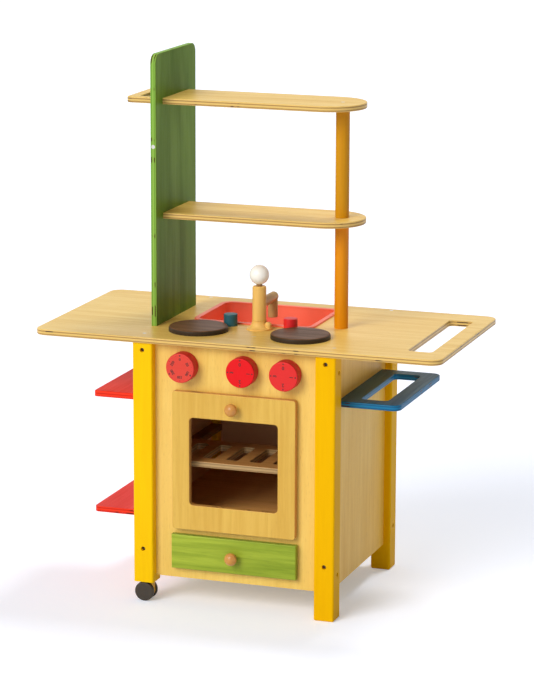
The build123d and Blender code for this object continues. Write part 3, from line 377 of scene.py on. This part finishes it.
def moulded(name, colour, rough, grain_size=900.0, waviness=0.05):
    """One colour all through; roughness = rough, more or less by a wide noise; a fine one is the bump."""
    made, tree, skin, where = new_material(name)
    bright = paint(*colour)
    darker = tuple(value * (1.0 - 2 * waviness) for value in bright[:3]) + (1.0,)
    fine = put(tree, "ShaderNodeTexNoise", {"Scale": grain_size, "Detail": 2.0})
    wide = put(tree, "ShaderNodeTexNoise", {"Scale": PATCH_SIZE, "Detail": 3.0})
    bump = put(tree, "ShaderNodeBump", {"Strength": 0.12, "Distance": 0.0002})
    uneven = maths(tree, "MULTIPLY", wide.outputs["Fac"], ROUGH_SPAN)
    patches = ramp(tree, wide.outputs["Fac"], PATCH_LOW, PATCH_HIGH)
    wire(
        tree,
        (where.outputs["Object"], fine.inputs["Vector"]),
        (where.outputs["Object"], wide.inputs["Vector"]),
        (fine.outputs["Fac"], bump.inputs["Height"]),
        (bump.outputs[0], skin.inputs["Normal"]),
        (maths(tree, "ADD", uneven, rough - ROUGH_SPAN / 2), skin.inputs["Roughness"]),
        (blend(tree, patches, bright, darker), skin.inputs["Base Color"]),
    )
    return made


def plated(name, colour, rough):
    """Metal whose roughness and colour follow one patchy noise, as plating does where it was touched."""
    made = moulded(name, colour, rough, grain_size=2500.0, waviness=0.08)
    made.node_tree.nodes["Principled BSDF"].inputs["Metallic"].default_value = 1.0
    return made


print("plastic and metal ready")

# %% [markdown]
# ## Painting the solids
# Each solid keeps its measured shape and gets the finish of the real piece. One material for all boards
# would do for the veneer, but the layers have to run through each board's own thickness, whichever way it
# lies. So every board has its own material, which knows the way through the sheet and the place of its
# lower face: that is read from the solid's own box.


# %% Colours of the boards
def board_colours(veneer, streak, edge, layer):
    """The four colours of a board, each from its three screen numbers."""
    named = {"veneer": veneer, "streak": streak, "edge": edge, "layer": layer}
    return {name: paint(*colour) for name, colour in named.items()}


BIRCH = board_colours((242, 204, 108), (224, 180, 84), (228, 190, 106), (150, 98, 44))
PANEL = board_colours((244, 206, 108), (232, 188, 86), (236, 196, 110), (160, 106, 48))
# The door's sawn edges are darker than the other boards': painted shade of its right edge and window
# reveal.
DOOR = board_colours((226, 184, 84), (210, 162, 64), (206, 150, 76), (186, 130, 62))
SIDE = board_colours((252, 204, 84), (236, 182, 66), (236, 196, 110), (160, 106, 48))
RACK = board_colours((206, 150, 84), (184, 124, 62), (184, 152, 102), (136, 102, 62))
# The oven floor's plywood is given a darker tone: painted shade of the oven's dim inside.
OVEN_FLOOR_SHADE = board_colours((228, 170, 98), (206, 146, 76), (160, 120, 76), (104, 70, 40))
# The tower board's sawn edges are paler than its veneer: painted light on its lit front edge.
GREEN = board_colours((116, 150, 46), (88, 118, 34), (144, 184, 78), (100, 144, 46))
LIME = board_colours((172, 188, 56), (120, 142, 24), (150, 170, 50), (104, 122, 28))
RED = board_colours((242, 48, 24), (226, 34, 16), (240, 60, 36), (200, 34, 20))
BLUE = board_colours((24, 90, 126), (16, 70, 104), (8, 112, 156), (6, 74, 112))
# A darker tone for the faces inside the cabinet: painted shade of the dim inside.
INNER_SHADE_PAINT = paint(220, 178, 130)
print("the worktop's veneer in light values:", [round(value, 3) for value in BIRCH["veneer"][:3]])

# %% Boards, each with its own sheet material
# node, the axis through the sheet, the axis along the grain, colours, and what differs from a plain sheet
BOARDS = (
    ("worktop", Z, X, BIRCH, {"rough": 0.3, "gloss": 0.3}),
    ("top_shelf", Z, X, BIRCH, {"gloss": 0.3}),
    ("lower_shelf", Z, X, BIRCH, {"gloss": 0.3}),
    ("oven_rack", Z, X, RACK, {}),
    ("oven_floor", Z, X, OVEN_FLOOR_SHADE, {}),
    ("bottom_panel", Z, X, PANEL, {}),
    # The inward faces of these four panels carry the painted shade of the inside.
    ("front_panel", Y, Z, PANEL, {"inside": (1, INNER_SHADE_PAINT)}),
    ("back_panel", Y, Z, PANEL, {"inside": (-1, INNER_SHADE_PAINT)}),
    ("side_panel_left", X, Z, SIDE, {"inside": (1, INNER_SHADE_PAINT)}),
    ("side_panel_right", X, Z, SIDE, {"inside": (-1, INNER_SHADE_PAINT)}),
    ("oven_door", Y, Z, DOOR, {}),
    ("tower_board", X, Z, GREEN, {"gloss": 0.04, "streaking": 0.3}),
    ("drawer_front", Y, X, LIME, {}),
    ("drawer_back", Y, X, BIRCH, {}),
    ("drawer_bottom", Z, Y, BIRCH, {}),
    ("drawer_sides", X, Y, BIRCH, {}),
    ("side_shelves", Z, Y, RED, {"gloss": 0.08}),
    ("towel_rack", Z, Y, BLUE, {}),
)


def cover(node, finish):
    """Gives a solid one finish in place of the one that it came with."""
    parts[node].data.materials.clear()
    parts[node].data.materials.append(finish)


for node, through, along, colours, special in BOARDS:
    board_low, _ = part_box(node)
    cover(node, sheet(node + "_finish", through, board_low[through], along, colours, **special))
print("boards painted:", len(BOARDS))

# %% The dials, the hobs and the ball
# The rim colours of the dials and the hobs are darker: painted shade on their sides.
dial_warm = glazed("dial_warm_red", X, (224, 70, 54), (214, 54, 42), showing=0.4, rim=(Y, (196, 22, 34)))
dial_bright = glazed("dial_bright_red", X, (230, 12, 18), (218, 8, 12), showing=0.3, rim=(Y, (192, 16, 30)))
dial_deep = glazed("dial_deep_red", X, (226, 46, 42), (214, 32, 30), showing=0.4, rim=(Y, (194, 18, 32)))
hob_brown = glazed(
    "hob_brown", X, (126, 86, 54), (80, 54, 34), rough=0.36, showing=1.0, gloss=0.12, rim=(Z, (58, 46, 32))
)
ball_pale = glazed("ball_pale", Z, (255, 252, 242), (250, 242, 222), rough=0.25, showing=0.3, coat=0.5)
BALL_ABOVE_NECK = 0.0385
NECK_SOFT = 0.001


def darken_below(made, height, colour):
    """Below a height the base colour gives way to another one, over a millimetre up and down."""
    tree = made.node_tree
    skin = tree.nodes["Principled BSDF"]
    was = skin.inputs["Base Color"].links[0].from_socket
    where = put(tree, "ShaderNodeTexCoord")
    axes = put(tree, "ShaderNodeSeparateXYZ")
    wire(tree, (where.outputs["Object"], axes.inputs[0]))
    above = ramp(tree, axes.outputs["Z"], height - NECK_SOFT, height + NECK_SOFT)
    wire(tree, (blend(tree, above, colour, was), skin.inputs["Base Color"]))


# The neck below the ball is painted a darker brown: painted shade where the ball meets the post.
_, ball_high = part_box("faucet_ball")
darken_below(ball_pale, ball_high[Z] - BALL_ABOVE_NECK, paint(150, 108, 56))
print("the ball's neck ends at", round(ball_high[Z] - BALL_ABOVE_NECK, 4))

# %% Legs, posts, knobs and the faucet
yellow = glazed("yellow_glaze", Z, (250, 200, 0), (240, 180, 0), showing=0.5, gloss=0.08)
# A darker copy of the yellow glaze for the right-hand legs: painted shade of their upper parts.
yellow_painted_shade = glazed("deep_yellow_glaze", Z, (242, 184, 0), (230, 166, 0), showing=0.5, gloss=0.04)
amber = glazed("amber_glaze", Z, (210, 148, 0), (190, 122, 0))
orange = glazed("orange_glaze", Z, (232, 148, 0), (212, 124, 0))
beech = glazed("oiled_beech", Z, (246, 200, 112), (226, 172, 82))
# A darker, greyer copy of the oiled beech: painted shade of the arm and outlet, which face away from the
# light; the drawer runners share it.
beech_painted_shade = glazed("oiled_beech_painted_shade", Y, (200, 168, 106), (172, 136, 80))
batten_wood = glazed("plain_beech", X, (150, 110, 66), (126, 88, 50), rough=0.55)
knob_wood = glazed("knob_wood", Y, (214, 150, 66), (178, 108, 40), rough=0.25, coat=0.5)
tap_red = glazed("tap_red", Z, (236, 36, 38), (212, 20, 26), gloss=0.4)
tap_blue = glazed("tap_blue", Z, (40, 96, 106), (26, 70, 82), gloss=0.4)
print("glazed woods ready")

# %% Plastic, metal, and which solid has which finish
# The sink's colour is its own red, raised towards salmon as a painted sheen.
sink_red_and_sheen = moulded("sink_red_and_sheen", (255, 112, 76), 0.4)
# The hood's gold is brighter than its own tone: painted light on a hood that sits in shade between the
# wheels.
hood_gold_and_light = moulded("caster_gold_painted_light", (250, 188, 56), 0.3)
tread_dark = moulded("caster_dark", (52, 42, 28), 0.45)
zinc = plated("zinc", (226, 222, 212), 0.3)
bolt_dark = plated("bolt_dark", (92, 80, 66), 0.4)
hinge_brass = plated("hinge_brass", (206, 176, 110), 0.35)
finishes = {
    yellow: ("leg_front_left", "leg_back_left"),
    yellow_painted_shade: ("leg_front_right", "leg_back_right"),
    amber: ("post_upper",),
    orange: ("post_lower",),
    beech: ("faucet_foot", "faucet_post", "faucet_peg"),
    beech_painted_shade: ("faucet_arm", "faucet_outlet", "drawer_runners"),
    batten_wood: ("battens", "drawer_stop"),
    knob_wood: ("door_knob", "drawer_knob"),
    dial_warm: ("dial_oven",),
    dial_bright: ("dial_hob_left",),
    dial_deep: ("dial_hob_right",),
    tap_red: ("tap_hot",),
    tap_blue: ("tap_cold",),
    hob_brown: ("hobs",),
    ball_pale: ("faucet_ball",),
    sink_red_and_sheen: ("sink_basin",),
    hood_gold_and_light: ("caster_front_hood", "caster_back_hood"),
    tread_dark: ("caster_front_wheels", "caster_back_wheels"),
    bolt_dark: ("leg_bolts",),
    hinge_brass: ("hinge_leaves_fixed", "hinge_leaves_moving"),
    zinc: (
        "wood_screws",
        "hinge_pins",
        "door_magnet",
        "door_strike",
        "caster_sleeves",
        "dial_oven_screw",
        "dial_hob_left_screw",
        "dial_hob_right_screw",
        "tap_cold_screw",
        "tap_hot_screw",
        "faucet_pivot",
    ),
}
for finish, nodes in finishes.items():
    for node in nodes:
        cover(node, finish)
print("finishes:", len(finishes))

# %% [markdown]
# ## Numbers printed on the dials
# The dials carry plain numbers: the oven's from 0 to 250 degrees round the face, each hob's from 0 to 3,
# with a dot at the rim for each and fine dots between on the oven's. They are printed, so they are flat
# letters a hair above the wood; a picture laid on the dial would blur up close. Text is laid out as a
# text object, turned into a mesh straight away, and then moved by changing its points, so that the
# finished piece stays at the origin.

# %% Printed marks
PRINT_OUT = 0.00012
LETTER_BOLD = 0.0002
LETTER_STEPS = 3
DOT_CORNERS = 16
ink = moulded("printing_ink", (34, 22, 16), 0.7)


def to_front(points, centre_x, centre_z, face_y):
    """Drawing (x, y) to the dial's face: x stays, y becomes height, a hair before the wood."""
    placed = np.empty_like(points)
    placed[:, X] = centre_x + points[:, 0]
    placed[:, Y] = face_y - PRINT_OUT - points[:, 2]
    placed[:, Z] = centre_z + points[:, 1]
    return placed


def printed_text(words, size, spot, turn):
    """The filled outline of the words, centred, turned by an angle and moved to a spot.

    x' = x cos - y sin + spot's x, y' = x sin + y cos + spot's y
    """
    letters = bpy.data.curves.new("letters", "FONT")
    letters.body = words
    letters.size = size
    letters.offset = LETTER_BOLD
    letters.align_x = "CENTER"
    letters.align_y = "CENTER"
    letters.resolution_u = LETTER_STEPS
    holder = bpy.data.objects.new("letters", letters)
    bpy.context.scene.collection.objects.link(holder)
    flat = bpy.data.meshes.new_from_object(holder)
    bpy.data.objects.remove(holder)
    points = np.empty(len(flat.vertices) * 3)
    flat.vertices.foreach_get("co", points)
    points = points.reshape(-1, 3)
    faces = [list(polygon.vertices) for polygon in flat.polygons]
    turned = points.copy()
    turned[:, 0] = points[:, 0] * math.cos(turn) - points[:, 1] * math.sin(turn) + spot[0]
    turned[:, 1] = points[:, 0] * math.sin(turn) + points[:, 1] * math.cos(turn) + spot[1]
    return turned, faces


def printed_dot(radius, spot):
    """A filled circle: points at equal angles round the spot."""
    angles = np.linspace(0, 2 * math.pi, DOT_CORNERS, endpoint=False)
    across = spot[0] + radius * np.cos(angles)
    up = spot[1] + radius * np.sin(angles)
    return np.stack([across, up, np.zeros(DOT_CORNERS)], axis=1), [list(range(DOT_CORNERS))]


def printed_piece(name, node, drawings):
    """Joins flat drawings into one piece on a dial's face, found by its box, that rides on the dial."""
    low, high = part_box(node)
    points, faces, start = [], [], 0
    for drawn, polygons in drawings:
        points.append(drawn)
        faces += [[corner + start for corner in polygon] for polygon in polygons]
        start += len(drawn)
    flat = to_front(np.concatenate(points), (low[X] + high[X]) / 2, (low[Z] + high[Z]) / 2, low[Y])
    mesh = bpy.data.meshes.new(name)
    mesh.from_pydata(flat.tolist(), [], faces)
    mesh.materials.append(ink)
    piece = bpy.data.objects.new(name, mesh)
    bpy.context.scene.collection.objects.link(piece)
    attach(piece, node)
    print(name, "faces:", len(faces))


# %% The oven dial and the two hob dials
DOT_RING = 0.0255
BIG_DOT, SMALL_DOT, FINE_DOT = 0.0015, 0.0007, 0.0004
OVEN_WORDS = ("0", "50", "100", "150", "200", "250")
OVEN_LETTERS, OVEN_RING = 0.0074, 0.0178
OVEN_STEP, OVEN_FINE_STEP = 60, 20
HOB_WORDS = "0123"
HOB_LETTERS, HOB_RING = 0.0098, 0.0168
HOB_STEP = 90


def round_spot(radius, clockwise):
    """A spot at this radius, at an angle counted clockwise from the top: (r sin, r cos)."""
    return radius * math.sin(clockwise), radius * math.cos(clockwise)


oven_marks = []
for step, words in enumerate(OVEN_WORDS):
    angle = math.radians(OVEN_STEP * step)
    oven_marks.append(printed_text(words, OVEN_LETTERS, round_spot(OVEN_RING, angle), -angle))
    oven_marks.append(printed_dot(BIG_DOT if step % 2 == 0 else SMALL_DOT, round_spot(DOT_RING, angle)))
    for between in range(OVEN_FINE_STEP, OVEN_STEP, OVEN_FINE_STEP):
        oven_marks.append(printed_dot(FINE_DOT, round_spot(DOT_RING, angle + math.radians(between))))
printed_piece("oven_dial_numbers", "dial_oven", oven_marks)
for node in ("dial_hob_left", "dial_hob_right"):
    marks = []
    for step, words in enumerate(HOB_WORDS):
        angle = math.radians(HOB_STEP * step)
        marks.append(printed_text(words, HOB_LETTERS, round_spot(HOB_RING, angle), -angle))
        marks.append(printed_dot(BIG_DOT, round_spot(DOT_RING, angle)))
    printed_piece(node + "_numbers", node, marks)

# %% [markdown]
# ## The floor
# The kitchen stands on a white studio floor that fades into a white wall. A wall could be built, but a
# floor that is very large reaches the horizon by itself. It is a little short of white, so that the
# object's soft shadow shows, and it has a slight glow for what looks at it, which is the camera, a mirror
# or glass, so that it comes out white where no shadow falls. The glow itself throws no light on the
# kitchen and is only mirrored. The floor's colour leans towards blue against the warm light that the wood
# throws on it.


# %% Floor
def looked_at(tree):
    """1 for a ray from the camera, off a shiny surface or through glass, and 0 for any other ray."""
    ray = put(tree, "ShaderNodeLightPath")
    seen = maths(tree, "MAXIMUM", ray.outputs["Is Camera Ray"], ray.outputs["Is Glossy Ray"])
    return maths(tree, "MAXIMUM", seen, ray.outputs["Is Transmission Ray"])


WHITE = (1.0, 1.0, 1.0, 1.0)
FLOOR_REACH = 60.0
FLOOR_COLOUR = (0.85, 0.89, 1.0, 1.0)
FLOOR_LIFT = 0.26
corners = [(-1, -1), (1, -1), (1, 1), (-1, 1)]
floor_mesh = bpy.data.meshes.new("floor")
floor_mesh.from_pydata([(FLOOR_REACH * x, FLOOR_REACH * y, 0) for x, y in corners], [], [(0, 1, 2, 3)])
floor = bpy.data.objects.new("floor", floor_mesh)
bpy.context.scene.collection.objects.link(floor)
floor_white = bpy.data.materials.new("floor_white")
floor_white.use_nodes = True
floor_tree = floor_white.node_tree
floor_skin = floor_tree.nodes["Principled BSDF"]
floor_skin.inputs["Base Color"].default_value = FLOOR_COLOUR
floor_skin.inputs["Roughness"].default_value = 0.9
floor_skin.inputs["Specular IOR Level"].default_value = 0.0
glow = put(floor_tree, "ShaderNodeEmission", {"Color": WHITE})
lifted = put(floor_tree, "ShaderNodeAddShader")
wire(
    floor_tree,
    (maths(floor_tree, "MULTIPLY", looked_at(floor_tree), FLOOR_LIFT), glow.inputs["Strength"]),
    (floor_skin.outputs[0], lifted.inputs[0]),
    (glow.outputs[0], lifted.inputs[1]),
    (lifted.outputs[0], floor_tree.nodes["Material Output"].inputs["Surface"]),
)
floor.data.materials.append(floor_white)
print("floor:", 2 * FLOOR_REACH, "m wide, lifted by", FLOOR_LIFT)

# %% [markdown]
# ## The world
# Soft light comes from all round, more of it from the left than from the right, so that the right-hand
# sides stay darker. A picture of a studio could be wrapped round the object, but the slope from left to
# right is all that shows. What looks at the world sees plain white.

# %% World
WORLD_LEFT = 0.6
WORLD_RIGHT = 0.14
world = bpy.data.worlds.new("studio")
bpy.context.scene.world = world
world.use_nodes = True
sky = world.node_tree
sky_light = sky.nodes["Background"]
sky_light.inputs["Color"].default_value = WHITE
sky_place = put(sky, "ShaderNodeTexCoord")
sky_axes = put(sky, "ShaderNodeSeparateXYZ")
slope = put(sky, "ShaderNodeMapRange", {"From Min": -1.0, "To Min": WORLD_LEFT, "To Max": WORLD_RIGHT})
wire(
    sky,
    (sky_place.outputs["Generated"], sky_axes.inputs[0]),
    (sky_axes.outputs["X"], slope.inputs["Value"]),
    (maths(sky, "MAXIMUM", slope.outputs[0], looked_at(sky)), sky_light.inputs["Strength"]),
)
print("world:", WORLD_LEFT, "at the left,", WORLD_RIGHT, "at the right")

# %% [markdown]
# ## The lamps
# The picture's shadows tell of two lights. The large one stands at the front left and is soft, since the
# dials' shadows have wide rims. The smaller one hangs above and behind the kitchen, since the tall
# board's shadow falls forward on the worktop. An area lamp would need a place and a size to be guessed; a
# sun with a wide disc makes the same soft shadow and needs only a direction.


# %% Lamps
def add_sun(name, towards, energy, spread, colour):
    """A sun whose light comes from the given direction, with a disc that is spread degrees wide."""
    lamp = bpy.data.lights.new(name, "SUN")
    lamp.energy = energy
    lamp.angle = math.radians(spread)
    lamp.color = colour
    holder = bpy.data.objects.new(name, lamp)
    holder.rotation_euler = Vector(towards).to_track_quat("Z", "Y").to_euler()
    bpy.context.scene.collection.objects.link(holder)
    print(name, "energy:", round(energy, 3))


add_sun("softbox_front_left", (-0.32, -0.8, 0.5), energy=2.0, spread=34.0, colour=(1.0, 0.995, 0.985))
add_sun("softbox_above_behind", (0.16, 0.375, 0.914), energy=1.05, spread=14.0, colour=(1.0, 1.0, 1.0))

# %% [markdown]
# ## The camera
# The photograph was taken from the front right with a long lens, a little above the worktop. The camera
# could be moved by eye until the picture looks alike. Instead its place and turn were worked out from the
# square edges of the cabinet, so that the picture and the render can be laid over each other.

# %% Camera
CAMERA_PLACE = (1.9455, -5.5697, 1.8149)
CAMERA_TURN = (77.39, -0.176, 19.289)
view = bpy.data.cameras.new("camera")
view.sensor_width = 36.0
view.lens = 152.94
view.clip_end = 200.0
camera = bpy.data.objects.new("camera", view)
bpy.context.scene.collection.objects.link(camera)
camera.location = CAMERA_PLACE
camera.rotation_euler = [math.radians(angle) for angle in CAMERA_TURN]
bpy.context.scene.camera = camera
bpy.context.scene.view_settings.view_transform = "Standard"
print("lens:", round(view.lens, 2))
